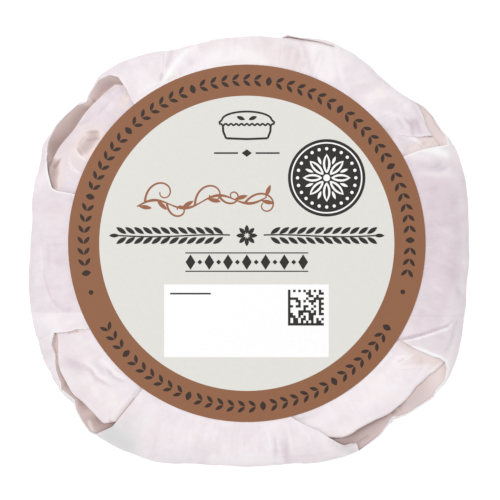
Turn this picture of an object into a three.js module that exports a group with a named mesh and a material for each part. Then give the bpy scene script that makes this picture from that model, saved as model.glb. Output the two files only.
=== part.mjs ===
// A pork pie wrapped in one square sheet of white greaseproof paper, which a round label holds shut.
//
// The sheet comes up round the pie from below. Its four sides fold over the rim and end on the flat top,
// under the label. The spare paper at each corner is tucked in: it leaves a panel on the pie's top, an outer
// wall that stands off the pie like the side of a pocket, and a gap between the two. The pack is shut, so it
// is one solid, and the label is a second one.
//
// Millimetres, +Z up, with the origin at the middle of the base. The label's lower edge faces -Y.

import * as THREE from "three";

const { clamp, degToRad, lerp } = THREE.MathUtils;

// Driving dimensions.
const wrapHeight = 57.6;
const pieRadius = 54.65; // of the wrapped pie at its rim, midway between its long and short axis
const pieOval = 0.55; // half the difference between the two
const pieShift = 0.25; // how far the pie lies towards -Y in the pack
const baseTaper = 0.09; // share of the radius that is lost from the rim down to the base
const baseFillet = 4;
const shoulder = 5.5; // radius of the bend where a flap folds over the rim
const flatTopRadius = 48.6; // the top is a plane out to here

// The paper that gathers at the corners stands out in bulges, most of all at the top. Each is largest at one
// angle from +X, in degrees, and dies away over its own reach on both sides.
const bulges = [
  { at: 27, before: 27, after: 21, out: 2.6 },
  { at: 69, before: 22, after: 17, out: 2.4 },
  { at: 128, before: 20, after: 24, out: 3.7 },
  { at: 149, before: 25, after: 29, out: 3.3 },
  { at: 200, before: 20, after: 18, out: 2.5 },
  { at: 210, before: 9, after: 20, out: 4.6 },
  { at: 215, before: 15, after: 33, out: 5.2 },
  { at: 231, before: 32, after: 35, out: 5.9 },
  { at: 299, before: 24, after: 15, out: 2.8 },
  { at: 325, before: 25, after: 27, out: 4.6 },
];
const bulgeRise = 3; // power of the height with which a bulge grows, up to the shoulder

// The tucked corners. A pocket runs between two angles along the outer wall, and its panel between two
// others along the label, because the flaps beside it have slanting edges. The panel's rim lies outside the
// pie's own rim, or inside it, by "out" at the middle.
const tucks = [
  { wall: [29.5, 43], label: [31, 37.7], out: -0.5 },
  { wall: [129.8, 156.7], label: [128.7, 162.7], out: -0.2 },
  { wall: [203.5, 230], label: [205.5, 232.1], out: 2.2 },
  { wall: [295.7, 329.7], label: [283.6, 329], out: -0.3 },
];
const pocketWall = 0.8; // thickness of the folded paper that stands off the pie
const pocketDepth = 6.5; // from the top down to the bottom of the gap, at the middle of a corner
const pocketEndDepth = 5.2; // the same beside a flap
const edgeDrop = 4.3; // how far the pocket's edge lies below the top, at the middle of a corner
const edgeEndDrop = 4.8; // the same beside a flap
const panelDrop = 0.5; // how far the tucked panel lies below the flaps at the rim
const rimBend = 2.2; // radius of the bend where a tucked panel goes down into its pocket
const leastGap = 0.2; // width of the gap where it is narrowest
const footShare = 0.4; // share of the gap's width at which its lowest line runs, from the pie outwards

const labelRadius = 44.75;
const labelThickness = 0.3;
const labelGap = 0.1; // between the paper's top and the label
const labelCentre = { x: -1, y: 1.42 };

// Fineness of the faceted solids.
const columnAngle = 2.2; // widest step round the pack, in degrees
const foldAngle = 0.8; // width of the steep face along a flap's side edge, in degrees
const wallRows = 7;
const bendRows = 5; // steps round a panel's bend at the rim
const gapRows = 3; // points of a pocket's section between its free edge and that bend
const filletShares = [0.15, 0.5]; // heights of the rows on the base's rounded edge, as shares of it
const labelSides = 96;

// A direction round the pack as the nearest equal angle between -pi and pi.
function nearZero(angle) {
  return Math.atan2(Math.sin(angle), Math.cos(angle));
}

// The wrapped pie's own radius at its rim: nearly round, a little wider along X than along Y.
function rimRadius(angle) {
  return pieRadius + pieOval * Math.cos(2 * angle) - pieShift * Math.sin(angle);
}

// How far the gathered paper stands out at the top. Where two bulges meet, the larger one shows, which makes
// a crease.
function bulgeAt(angle) {
  const outs = bulges.map(({ at, before, after, out }) => {
    const away = nearZero(angle - degToRad(at));
    const share = Math.min(Math.abs(away) / degToRad(away < 0 ? before : after), 1);
    return out * Math.cos((share * Math.PI) / 2) ** 2;
  });
  return Math.max(...outs);
}

// The side of the pie below its rim, which narrows towards the base.
function sideRadius(angle, height) {
  return rimRadius(angle) * (1 - baseTaper * (1 - height / wrapHeight) ** 2);
}

// The outside of the wrap.
function wallRadius(angle, height) {
  const depth = Math.max(baseFillet - height, 0);
  const fillet = baseFillet - Math.sqrt(baseFillet ** 2 - depth ** 2);
  const rise = Math.min(height / (wrapHeight - shoulder), 1);
  return sideRadius(angle, height) + bulgeAt(angle) * rise ** bulgeRise - fillet;
}

// Points of a quarter bend from the side of a wall to the plane above it, as [radius, height].
function bend(outerRadius, innerRadius, low, high, rows) {
  return Array.from({ length: rows }, (_, i) => {
    const turn = ((i + 1) / rows) * (Math.PI / 2);
    return [lerp(innerRadius, outerRadius, Math.cos(turn)), lerp(low, high, Math.sin(turn))];
  });
}

// The outer wall from the base up to the height given.
function wallPoints(angle, top) {
  const base = [[wallRadius(angle, 0), 0]];
  const fillet = filletShares.map((share) => [wallRadius(angle, share * baseFillet), share * baseFillet]);
  const wall = Array.from({ length: wallRows }, (_, i) => {
    const z = lerp(baseFillet, top, i / (wallRows - 1));
    return [wallRadius(angle, z), z];
  });
  return [...base, ...fillet, ...wall];
}

// Section through a flap: up the wall, over the rim in one bend, and onto the top.
function flapSection(angle) {
  const top = wrapHeight - shoulder;
  const outer = wallRadius(angle, top);
  return [...wallPoints(angle, top), ...bend(outer, flatTopRadius, top, wrapHeight, bendRows + gapRows)];
}

// Section through a tucked corner: up the wall to its free edge, down into the pocket, and up over the pie's
// rim. It has as many points as a flap's section.
function pocketSection(angle, across, out) {
  const middle = Math.sin(Math.PI * across);
  const edge = wrapHeight - lerp(edgeEndDrop, edgeDrop, middle);
  const floor = wrapHeight - lerp(pocketEndDepth, pocketDepth, middle);
  const innerEdge = wallRadius(angle, edge) - pocketWall;
  const innerFoot = wallRadius(angle, floor) - pocketWall;
  const rim = Math.min(rimRadius(angle) - pocketWall + out * middle, innerFoot - leastGap);
  const panel = wrapHeight - panelDrop;
  return [
    ...wallPoints(angle, edge),
    [innerEdge, edge],
    [lerp(rim, innerFoot, footShare), floor],
    [rim, panel - rimBend],
    ...bend(rim, rim - rimBend, panel - rimBend, panel, bendRows - 1),
    [flatTopRadius, wrapHeight],
  ];
}

// The columns of points round the pack. A column keeps its wall angle up the wall and turns to its label
// angle on the top. The sections change from flap to pocket in the narrow step between two columns.
function columns() {
  const made = [];
  const fill = (wall, label, sectionAt) => {
    const widest = Math.max(wall[1] - wall[0], label[1] - label[0]);
    const steps = Math.max(2, Math.ceil(widest / columnAngle));
    for (let i = 0; i <= steps; i += 1) {
      const across = i / steps;
      const angle = degToRad(lerp(wall[0], wall[1], across));
      made.push({
        wallAngle: angle,
        labelAngle: degToRad(lerp(label[0], label[1], across)),
        section: sectionAt(angle, across),
      });
    }
  };
  tucks.forEach((tuck, i) => {
    const next = tucks[(i + 1) % tucks.length];
    const turn = i + 1 < tucks.length ? 0 : 360;
    fill(tuck.wall, tuck.label, (angle, across) => pocketSection(angle, across, tuck.out));
    fill(
      [tuck.wall[1] + foldAngle, next.wall[0] + turn - foldAngle],
      [tuck.label[1] + foldAngle, next.label[0] + turn - foldAngle],
      flapSection,
    );
  });
  return made;
}

// Joins the columns into one closed surface, with a pole at the middle of the base and one at the middle of
// the top.
function wrapGeometry() {
  const made = columns();
  const rows = made[0].section.length;
  const positions = [0, 0, 0, 0, 0, wrapHeight];
  made.forEach(({ wallAngle, labelAngle, section }) => {
    const outer = Math.max(...section.map(([radius]) => radius));
    section.forEach(([radius, height], row) => {
      const inwards = row < wallRows ? 0 : clamp((outer - radius) / (outer - flatTopRadius), 0, 1);
      const angle = lerp(wallAngle, labelAngle, inwards);
      positions.push(radius * Math.cos(angle), radius * Math.sin(angle), height);
    });
  });
  const point = (column, row) => 2 + (column % made.length) * rows + row;
  const faces = [];
  made.forEach((_, column) => {
    faces.push(0, point(column + 1, 0), point(column, 0));
    for (let row = 0; row + 1 < rows; row += 1) {
      const [a, b] = [point(column, row), point(column + 1, row)];
      const [c, d] = [point(column + 1, row + 1), point(column, row + 1)];
      faces.push(a, b, c, a, c, d);
    }
    faces.push(1, point(column, rows - 1), point(column + 1, rows - 1));
  });
  const geometry = new THREE.BufferGeometry();
  geometry.setAttribute("position", new THREE.Float32BufferAttribute(positions, 3));
  geometry.setIndex(faces);
  geometry.computeVertexNormals();
  return geometry;
}

function wrappedPie() {
  const paper = new THREE.MeshStandardMaterial({ color: 0xefe4e9, roughness: 0.55, metalness: 0 });
  const mesh = new THREE.Mesh(wrapGeometry(), paper);
  mesh.name = "wrapped_pie";
  return mesh;
}

function label() {
  const geometry = new THREE.CylinderGeometry(labelRadius, labelRadius, labelThickness, labelSides);
  const paper = new THREE.MeshStandardMaterial({ color: 0xe4e3de, roughness: 0.45, metalness: 0 });
  const mesh = new THREE.Mesh(geometry, paper);
  mesh.name = "label";
  mesh.rotation.x = Math.PI / 2;
  mesh.position.set(labelCentre.x, labelCentre.y, wrapHeight + labelGap + labelThickness / 2);
  return mesh;
}

const pack = new THREE.Group();
pack.add(wrappedPie(), label());

// The bulges are uneven, so the pack is moved to stand with its middle over the origin.
const middle = new THREE.Box3().setFromObject(pack).getCenter(new THREE.Vector3());
pack.position.set(-middle.x, -middle.y, 0);

export default pack;
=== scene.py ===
"""Looks of a pork pie in its shop wrap: creased greaseproof paper, tucked in at four corners, and a label.

Everything is worked out in millimetres, and degrees from +X, in the pack's own frame, with +Z up and the
label's lower edge towards -Y. It is turned into metres when a mesh is made.
"""

import math

import bmesh
import bpy
import numpy as np
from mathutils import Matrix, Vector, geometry, kdtree


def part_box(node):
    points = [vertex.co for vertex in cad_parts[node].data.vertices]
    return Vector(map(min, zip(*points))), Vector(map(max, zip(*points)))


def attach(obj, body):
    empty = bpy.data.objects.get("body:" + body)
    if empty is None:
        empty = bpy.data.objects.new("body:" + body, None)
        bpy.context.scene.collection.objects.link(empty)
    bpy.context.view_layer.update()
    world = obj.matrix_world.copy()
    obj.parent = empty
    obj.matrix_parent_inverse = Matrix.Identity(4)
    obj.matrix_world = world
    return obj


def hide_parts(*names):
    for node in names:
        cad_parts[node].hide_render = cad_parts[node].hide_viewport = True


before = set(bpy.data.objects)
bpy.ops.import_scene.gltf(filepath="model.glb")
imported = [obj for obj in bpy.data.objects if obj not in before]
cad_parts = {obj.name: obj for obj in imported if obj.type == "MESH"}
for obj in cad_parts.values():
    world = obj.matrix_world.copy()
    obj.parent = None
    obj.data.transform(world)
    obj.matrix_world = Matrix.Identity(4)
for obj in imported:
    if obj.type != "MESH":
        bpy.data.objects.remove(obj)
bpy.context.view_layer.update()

MM = 0.001

# ---- The pack's sizes. Those that the CAD model has too are the same there.

label_low, label_high = (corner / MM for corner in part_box("label"))
WRAP_HEIGHT = (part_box("wrapped_pie")[1] / MM).z
LABEL_RADIUS = (label_high.x - label_low.x) / 2
LABEL_CENTRE = (label_low + label_high) / 2

PIE_RADIUS = 54.65  # of the wrapped pie at its rim, midway between its long and short axis
PIE_OVAL = 0.55
PIE_SHIFT = 0.25
BASE_TAPER = 0.09
BASE_FILLET = 4.0
SHOULDER = 5.5  # height of the bend where a flap folds over the rim
BEND_FOOT = WRAP_HEIGHT - SHOULDER
FLAT_TOP_RADIUS = 48.6
FLAP_END_RADIUS = 41.5  # where the flaps end, under the label
PAPER_THICKNESS = 0.2

# Where the gathered paper stands out: middle, reach before and after it, and how far.
BULGES = [
    (27, 27, 21, 2.6), (69, 22, 17, 2.4), (128, 20, 24, 3.7), (149, 25, 29, 3.3), (200, 20, 18, 2.5),
    (210, 9, 20, 4.6), (215, 15, 33, 5.2), (231, 32, 35, 5.9), (299, 24, 15, 2.8), (325, 25, 27, 4.6),
]
BULGE_RISE = 3  # power of the height with which a bulge grows, up to the shoulder

# The free edges of the four flaps, as (radius, angle) from the wall in to the label.
NORTH_RIGHT = [(54.7, 43), (50, 44), (46, 46)]
NORTH_LEFT = [(56.4, 128.9), (54.5, 127.3), (50.9, 127.5), (47.1, 128.5)]
WEST_TOP = [(56.5, 154.6), (56, 156.4), (54.1, 159.4), (52, 162.7), (50.5, 163), (46.7, 162.4)]
WEST_BOTTOM = [(53.3, 202.9), (50.4, 204.1), (47.6, 204.6), (45.8, 205.8)]
SOUTH_LEFT = [(60.4, 230.1), (56.3, 232.1), (46.6, 232.3)]
SOUTH_RIGHT = [(57.4, 298.5), (55.9, 298.8), (55.2, 298.6), (54.6, 295.5), (48.5, 290.9), (43.1, 283.9)]
EAST_BOTTOM = [
    (59, 326), (58.4, 327.5), (57.7, 329.1), (56.5, 330.2), (54.9, 330.4), (52.9, 329.9), (46.9, 329.1),
]
EAST_TOP = [(56.2, 28), (50.6, 30), (45.8, 31.2)]

# The north-east panel belongs to the north flap. It hangs into the pocket from a fold along the pie's rim.
TAB_EDGE = [(55.3, 31.5), (50.8, 33.9), (47.8, 36.9), (46.5, 39)]  # its free edge
TAB_RIM = [(31.7, 54.5), (36.7, 55.1), (39.8, 55.3), (43, 54.7)]  # the fold, as (angle, radius)
TAB_FOLD = 1.1  # radius of the fold
TAB_HANG = (9, 2.2)  # how far below the top the hanging part starts and ends
TAB_LEAN = 0.8  # how far its lower end is in from the rim
TAB_DROP = 0.3  # of the panel below the top, just inside the fold

# The tucked corners. "lip" is the upper edge of the outer wall and "rim" the edge of the panel inside it, as
# (angle, radius). Between them is a pocket: "brown" is how dark its floor is painted by angle, as painted
# shade with the pie's brown through the paper, "fold" where a fold divides it, "skew" how far that turns from
# the lip to the rim, and "deepest" where it has its full depth.
# "ease" is the share of the corner's width over which the lip comes down from the flap before it, and "tuck"
# the height over which the wall leans in.
CORNERS = {
    "north_east": {
        "lip": [(28, 56.2), (29.7, 57), (30.8, 57.3), (33.2, 57.2), (36.2, 57.2), (39.1, 56.5), (43, 54.7)],
        "rim": [(29, 54.3), (31.5, 54), (33.5, 53), (43, 52)],
        "brown": [(29, 0.15), (43, 0.15)],
        "fold": 41, "skew": 0, "depth": 1.9, "deepest": (38, 43), "ease": 0.25, "tuck": 13,
    },
    "north_west": {
        "lip": [
            (128.9, 56.4), (131.7, 57.2), (133.9, 56.9), (136.7, 56.4), (137.7, 55.7), (139.6, 57),
            (142.4, 57.3), (146.7, 57.9), (149, 57.6), (151.6, 57.4), (154.6, 56.6),
        ],
        "rim": [
            (129.4, 53.6), (137, 53.9), (146.2, 53.9), (150.7, 54.2), (154, 54.4), (158, 54.5), (160, 53.8),
            (163, 52.6),
        ],
        "brown": [(136.7, 0.6), (138.7, 0.85), (147, 0.88), (152, 0.98), (156, 0.62), (159, 0.1)],
        "fold": 137.7, "skew": -1.4, "depth": 4.8, "deepest": (132, 157), "ease": 0.25, "tuck": 13,
    },
    "south_west": {
        "lip": [
            (202.9, 53.2), (205.8, 55.3), (208.3, 55.4), (209.8, 56.4), (211.6, 57.3), (213.2, 57.8),
            (215.1, 58.2), (216.4, 59.3), (217.8, 58.8), (220.3, 58.2), (222.7, 59.5), (225.4, 60.4),
            (228.6, 61), (230.1, 60.4),
        ],
        "rim": [
            (203.7, 52.9), (206.2, 54.1), (208.5, 55.1), (210.8, 56), (212.6, 56.5), (214.9, 56.8),
            (219.5, 57.4), (222.3, 56.9), (229.8, 56.8), (232, 54.8),
        ],
        "brown": [
            (203, 0.28), (208, 0.42), (210.5, 0.95), (213, 0.95), (219.3, 0.92), (221.3, 0.8), (224.3, 0.45),
            (226.5, 0.95), (229, 1),
        ],
        "fold": 220.3, "skew": 1.4, "depth": 5, "deepest": (214, 226), "ease": 0.45, "tuck": 5,
    },
    "south_east": {
        "lip": [
            (298.5, 57.4), (301.3, 57.2), (304.7, 56.8), (308.6, 55.8), (310.5, 55.4), (311.2, 56.2),
            (315.7, 57.5), (319.4, 58.6), (321.4, 59.1), (323.1, 58.7), (326, 59),
        ],
        "rim": [
            (292, 50.6), (293.9, 51.5), (296.5, 52.6), (299, 52.8), (301, 52.6), (306.6, 52.9), (311.2, 53.8),
            (314.6, 54.1), (317.8, 54.1), (320.6, 53.9), (322.7, 54.4), (324.9, 54.8), (326.5, 55.7),
            (329.2, 56.3), (332, 56.2),
        ],
        "brown": [(309.9, 0.75), (311.9, 0.45), (319, 0.35), (324, 0)],
        "fold": 310.9, "skew": 3.8, "depth": 4.2, "deepest": (301, 312), "ease": 0.25, "tuck": 8,
    },
}

# ---- Small helpers for arrays of angles and points.


def smooth(low, high, value):
    """0 up to low, 1 from high, and an even ease between them."""
    share = np.clip((value - low) / (high - low), 0, 1)
    return share * share * (3 - 2 * share)


def lerp(a, b, share):
    return a + (b - a) * share


def bell(value):
    return np.exp(-(value**2))


def steps(start, end, count):
    """Even steps from start to end, without start itself."""
    return np.linspace(start, end, count + 1)[1:]


def along(points, value):
    """The second numbers of points, read off at value of the first ones, which rise."""
    return np.interp(value, *zip(*points))


def polar(angle, radius, height):
    """Points from angles, radii and heights."""
    turn = np.radians(angle)
    return np.stack([radius * np.cos(turn), radius * np.sin(turn), height + 0 * turn], axis=-1)


def angle_of(points):
    return np.degrees(np.arctan2(points[..., 1], points[..., 0]))


def by_angle(points, values):
    """Values given as (angle, value), read off all round."""
    return np.interp(angle_of(points), *zip(*values), period=360)


def past(angle, middle):
    """How far an angle is past a middle one, from -180 to 180."""
    return (angle - middle + 180) % 360 - 180


def within(angle, start, end, ease):
    """1 between two angles, 0 away from them, with an ease outside both."""
    return smooth(ease, 0, np.abs(past(angle, (start + end) / 2)) - (end - start) / 2)


def waves(points, wavelength, count, seed, sharp=False):
    """An even, irregular relief of about -1 to 1. A sharp one is made of flat facets that meet in creases."""
    random = np.random.default_rng(seed)
    total = np.zeros(points.shape[:-1])
    for _ in range(count):
        direction = random.normal(size=3)
        direction /= np.linalg.norm(direction)
        length = wavelength * random.uniform(0.7, 1.5)
        wave = np.sin(points @ direction * 2 * math.pi / length + random.uniform(0, 2 * math.pi))
        total += np.arcsin(wave) * 2 / math.pi if sharp else wave
    return total / math.sqrt(count)


# ---- The form of the wrap, before its creases.


def rim_radius(angle):
    turn = np.radians(angle)
    return PIE_RADIUS + PIE_OVAL * np.cos(2 * turn) - PIE_SHIFT * np.sin(turn)


def bulge(angle):
    """How far the gathered paper stands out at the top."""
    outs = []
    for middle, before, after, out in BULGES:
        away = past(angle, middle)
        share = np.minimum(np.where(away < 0, -away / before, away / after), 1)
        outs.append(out * np.cos(share * math.pi / 2) ** 2)
    return np.max(outs, axis=0)


def wall_radius(angle, height):
    side = rim_radius(angle) * (1 - BASE_TAPER * (1 - height / WRAP_HEIGHT) ** 2)
    depth = BASE_FILLET - np.minimum(height, BASE_FILLET)
    fillet = BASE_FILLET - np.sqrt(BASE_FILLET**2 - depth**2)
    return side + bulge(angle) * np.minimum(height / BEND_FOOT, 1) ** BULGE_RISE - fillet


def bend_share(angle, radius):
    """How far out a radius is in the bend over the rim, from 0 at the flat top to 1 at the wall."""
    outer = wall_radius(angle, BEND_FOOT)
    return np.clip((radius - FLAT_TOP_RADIUS) / (outer - FLAT_TOP_RADIUS), 0, 1)


def flap_height(angle, radius):
    """The height of a flap before its creases."""
    return BEND_FOOT + SHOULDER * np.sqrt(1 - bend_share(angle, radius) ** 2)


def inwards(start, radius):
    """The share of the way from a radius at the wall to the flap's end, under the label."""
    return (start - radius) / (start - FLAP_END_RADIUS)


def edge_angle(edge, share):
    """A free edge's angle at a share of that way."""
    return np.interp(share, [inwards(edge[0][0], radius) for radius, _ in edge], [angle for _, angle in edge])


# ---- The sheet: one grid of points, with a column up the wall and over the top at each angle.

COLUMN_STEP = 0.38  # degrees
FINE_STEPS = [0, 0.14, 0.32, 0.56, 0.84]  # degrees from a free edge

BASE_RADII = [6, 18, 30, 40]
FILLET_HEIGHTS = [0, 0.35, 1.1, 2.3]
WALL_ROWS = 24
LIP_ROWS = 8
BEND_ROWS = 24
TOP_ROWS = 22
TAB_HANG_ROWS = 4
TAB_FOLD_ROWS = 5

WALL_START = len(BASE_RADII)
LIP_ROW = WALL_START + len(FILLET_HEIGHTS) + WALL_ROWS + LIP_ROWS - 1  # the wall's edge at a tucked corner
TAB_ROW = LIP_ROW + 1
ROWS = TAB_ROW + BEND_ROWS + TOP_ROWS
LIP_TURN = 0.22  # how far round the shoulder, in radians, the wall reaches at a tucked corner
LIP_EASE = 0.25  # share of a corner's width over which its lip goes up to the flap's edge after it
LIP_FLARE = 13.0  # below its edge the wall there is pushed out over this height

# The parts of the pack in turn, from the north-east corner on, and the free edge that each one starts at.
PARTS = [
    ("north_east", EAST_TOP), ("north", NORTH_RIGHT), ("north_west", NORTH_LEFT), ("west", WEST_TOP),
    ("south_west", WEST_BOTTOM), ("south", SOUTH_LEFT), ("south_east", SOUTH_RIGHT), ("east", EAST_BOTTOM),
]


def spaced(width):
    """Shares from 0 to 1 across a width in degrees, evenly spaced but for finer steps at both ends."""
    *fine, last = FINE_STEPS
    middle = np.linspace(last, width - last, max(2, round((width - 2 * last) / COLUMN_STEP)))
    return np.concatenate([fine, middle, width - np.array(fine[::-1])]) / width


def shoulder_turn(radius, angle):
    """How far round the bend over the rim, in radians, the surface is in to a radius."""
    return np.arccos(np.minimum(bend_share(angle, radius), 0.999))


def column(angle, lip_turn):
    """Radii and heights of one column, from the middle of the base to the flap's end under the label."""
    wall = np.concatenate([FILLET_HEIGHTS, np.linspace(BASE_FILLET, BEND_FOOT, WALL_ROWS)])
    turns = np.concatenate([steps(0, lip_turn, LIP_ROWS), steps(lip_turn, math.pi / 2, BEND_ROWS)])
    bend = lerp(FLAT_TOP_RADIUS, wall_radius(angle, BEND_FOOT), np.cos(turns))
    top = steps(FLAT_TOP_RADIUS, FLAP_END_RADIUS, TOP_ROWS)
    radii = np.concatenate([BASE_RADII, wall_radius(angle, wall), bend, top])
    rise = BEND_FOOT + SHOULDER * np.sin(turns)
    return radii, np.concatenate([np.zeros(WALL_START), wall, rise, np.full(TOP_ROWS, WRAP_HEIGHT)])


def lip_push(corner, angle, radii, heights):
    """How far out the rows of a column at a tucked corner move, so that it ends at the corner's lip."""
    push = along(corner["lip"], angle) - radii[LIP_ROW]
    reach = LIP_FLARE if push > 0 else corner["tuck"]
    return push * smooth(heights[LIP_ROW] - reach, heights[LIP_ROW], heights)


def tab_column(rim, share, flap_radii, flap_heights):
    """The north-east panel's rows, which hang from the rim's fold and go in to the label."""
    turns = np.linspace(0, math.pi / 2, TAB_FOLD_ROWS)
    top_rows = len(flap_radii) - TAB_HANG_ROWS - TAB_FOLD_ROWS
    radii = np.concatenate([
        np.linspace(rim - TAB_LEAN, rim, TAB_HANG_ROWS),
        rim - TAB_FOLD * (1 - np.cos(turns)),
        steps(rim - TAB_FOLD, FLAP_END_RADIUS, top_rows),
    ])
    drops = np.concatenate([
        np.linspace(*TAB_HANG, TAB_HANG_ROWS),
        TAB_DROP + TAB_FOLD * (1 - np.sin(turns)),
        steps(TAB_DROP, 0, top_rows),
    ])
    joined = smooth(0.86, 1, share)
    return lerp(radii, flap_radii, joined), lerp(WRAP_HEIGHT - drops, flap_heights, joined)


def sheet_grid():
    """The sheet's points as columns of rows, and which of the faces after each column and row are there."""
    points, present = [], []
    for i, (name, start) in enumerate(PARTS):
        end = PARTS[(i + 1) % len(PARTS)][1]
        whole_turn = 360 if i == len(PARTS) - 1 else 0
        first, last = start[0][1], end[0][1] + whole_turn
        turn_start, turn_end = shoulder_turn(*start[0]), shoulder_turn(*end[0])
        corner = CORNERS.get(name)
        shares = spaced(last - first)
        for share in shares[:-1]:
            angle = lerp(first, last, share)
            lip_turn = lerp(turn_start, turn_end, share)
            if corner:
                lip_turn = lerp(turn_start, LIP_TURN, smooth(0, corner["ease"], share))
                lip_turn = lerp(lip_turn, turn_end, smooth(1 - LIP_EASE, 1, share))
            radii, heights = column(angle, lip_turn)
            faces = np.ones(ROWS - 1, bool)
            if corner:
                radii[:TAB_ROW] += lip_push(corner, angle, radii, heights)[:TAB_ROW]
                faces[LIP_ROW:] = False
            way = inwards(radii[LIP_ROW], radii)
            way[:TAB_ROW] = 0
            angles = lerp(edge_angle(start, way), edge_angle(end, way) + whole_turn, share)
            if name == "north_east" and share > 0:
                over = (share - shares[1]) / (1 - shares[1])
                far = edge_angle(end, way[TAB_ROW:])
                top = tab_column(along(TAB_RIM, angle), over, radii[TAB_ROW:], heights[TAB_ROW:])
                radii[TAB_ROW:], heights[TAB_ROW:] = top
                near = edge_angle(TAB_EDGE, inwards(TAB_EDGE[0][0], radii[TAB_ROW:]))
                angles[TAB_ROW:] = lerp(near, far, over)
                faces[TAB_ROW:] = True
            points.append(polar(angles, radii, heights))
            present.append(faces)
    return np.array(points), np.array(present)


def grid_normals(points):
    """The outward normal at every point of a grid of columns that closes on itself round the pack."""
    around = np.roll(points, -1, axis=0) - np.roll(points, 1, axis=0)
    normals = np.cross(around, np.gradient(points, axis=1))
    return normals / np.maximum(np.linalg.norm(normals, axis=-1, keepdims=True), 1e-9)


def grid_quads(points):
    """The corners' indices of every face of such a grid."""
    columns, rows = points.shape[:2]
    index = np.arange(columns * rows).reshape(columns, rows)
    after = np.roll(index, -1, axis=0)
    return np.stack([index[:, :-1], after[:, :-1], after[:, 1:], index[:, 1:]], axis=-1)


# ---- Creases: lines over the pack seen from above, from (x, y) to (x, y), each with its height and width.
# A ridge has the same slope on both sides. A step drops at once on the left of the line, seen along it.


def chain(points, firsts, seconds):
    """The pieces of a bent line as lines of their own, each with two values, one list or number for each."""
    firsts, seconds = (np.broadcast_to(values, len(points) - 1) for values in (firsts, seconds))
    return [(*a, *b, first, second) for a, b, first, second in zip(points, points[1:], firsts, seconds)]


BAND = [(-13.6, 51), (-16.1, 49.8), (-18.1, 47.3), (-20.1, 44.3), (-21.2, 42.3)]  # to the north flap's pleat

SHEET_RIDGES = [
    *chain(BAND, [0.26, 0.3, 0.3, 0.26], [0.7, 0.8, 0.8, 0.7]),
    # The north flap's right crease, and its smaller ones.
    *chain([(22, 52.5), (22.3, 47.8), (23.4, 42)], 0.26, 0.4), (19.6, 53, 20.4, 43, 0.1, 0.5),
    (17.2, 53, 17.8, 44, 0.1, 0.4), (12.8, 53, 13.8, 48.3, -0.16, 0.4), (14.2, 51.5, 15.1, 45, -0.16, 0.5),
    (6.4, 53, 6.8, 44.5, 0.1, 0.6), (3, 52, 3.2, 44, 0.1, 0.7), (-4.6, 53, -4.3, 46, 0.08, 0.4),
    # A light upright line on the west flap, its curved crease, and short ones.
    (-52.5, 1, -52, -6.5, 0.08, 0.4), (-50.4, 1.5, -50.5, -4.5, -0.1, 0.4),
    *chain(
        [(-52, -5.1), (-51.1, -8.7), (-49.8, -12.4), (-47.8, -14.5), (-46, -15.1), (-44.5, -14.5)],
        [-0.12, -0.13, -0.15, -0.13, -0.16], 0.3,
    ),
    (-51, 3.3, -45.5, 3.3, -0.07, 0.3), (-50.5, 1.3, -45.5, 1.5, -0.07, 0.3),
    (-50.5, -3.1, -46, -3.3, -0.09, 0.3),
    # The crease beside the east flap's curled corner.
    *chain(
        [(51.8, -18), (50.9, -20.9), (50.5, -22.6), (49.8, -24.4), (49, -25.6)],
        [-0.18, -0.22, -0.22, -0.2], 0.25,
    ),
    # Across the top of the east flap, its fine wrinkles, and folds down it.
    (42.5, 19.2, 50.5, 18.6, 0.14, 1), (45.8, 20.2, 47.8, 21.7, -0.12, 0.25),
    (46.8, 19.7, 49.3, 20.9, -0.12, 0.25), (46.3, 21.4, 48.8, 22.9, -0.12, 0.25),
    (48.2, 20, 50.4, 21.6, -0.12, 0.25), (45, 15.4, 46.6, 16.2, -0.08, 0.25),
    (45.4, 14.8, 47.2, 15.4, -0.08, 0.25), (46, 6.5, 52, 3, 0.08, 0.5), (45.5, -2, 51.5, -4.5, 0.08, 0.5),
    (51.8, -9, 53, -11.8, -0.16, 0.6), (45, -8, 50.5, -12.5, 0.08, 0.5),
    # Wrinkles on the north-east panel.
    (36.5, 33.5, 44, 27.6, 0.14, 0.9), (33.5, 34.5, 39.5, 33, 0.15, 0.8), (29, 38.5, 36, 39.5, 0.12, 1),
    (26, 41.5, 30, 42.8, 0.12, 0.7), (40.5, 32.4, 40.9, 28.6, -0.4, 0.35),
    (41.6, 32.6, 42.8, 29.6, -0.25, 0.3), (38.8, 33, 40.4, 31.2, -0.25, 0.3),
    (36.6, 33.4, 38.4, 30.6, -0.2, 0.3),
    # Flutes near the south flap's right end.
    (6.5, -47, 6, -53.5, -0.14, 0.5), (7.9, -46.5, 7.6, -53.5, 0.1, 0.4),
    (9.3, -47.5, 9, -53.5, -0.14, 0.5), (-2, -45.5, -2.3, -54, 0.07, 0.5),
    (-7.5, -45.5, -8.2, -54, -0.07, 0.5), (-14.5, -45, -16, -53, 0.08, 0.6),
    (-22.5, -43, -24.5, -51.5, -0.08, 0.6),
]
SHEET_STEPS = [
    # The north flap's pleat.
    (-21.6, 54, -22, 42.8, 0.13, 3),
    # The fold across the east flap's lower corner, and a fine one above it.
    *chain(
        [(37.2, -22.8), (40.2, -22.2), (42.6, -21.6), (46, -20.5), (49.2, -19.4), (50.6, -18.2)],
        [0.55, 0.7, 0.7, 0.6, 0.4], [2.4, 2.4, 2.2, 2, 1.5],
    ),
    (41, -16.8, 55, -16.8, 0.08, 1.6),
]
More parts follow.
